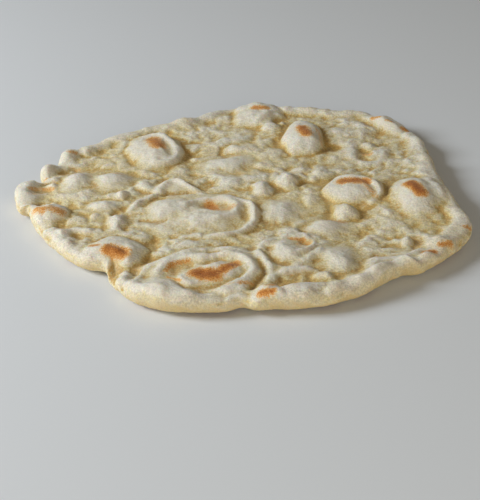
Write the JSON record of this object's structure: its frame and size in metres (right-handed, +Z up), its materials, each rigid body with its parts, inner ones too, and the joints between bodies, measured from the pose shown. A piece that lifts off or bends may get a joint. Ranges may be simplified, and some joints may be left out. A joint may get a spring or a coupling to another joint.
{
  "type": "pita bread",
  "caption": "Round pan-baked flatbread with a blistered, lightly toasted top, a soft rolled rim and a flat underside.",
  "frame": {"origin": "on the surface the bread lies on, under the middle of its box", "axes": "+Z up through the bread, -Y towards the front edge, +X to the right across its widest side"},
  "size_m": [0.1864, 0.1762, 0.013],
  "materials": {
    "baked_dough": "dry floury crust"
  },
  "bodies": {
    "root": {"pita_bread": "baked_dough"}
  },
  "joints": []
}
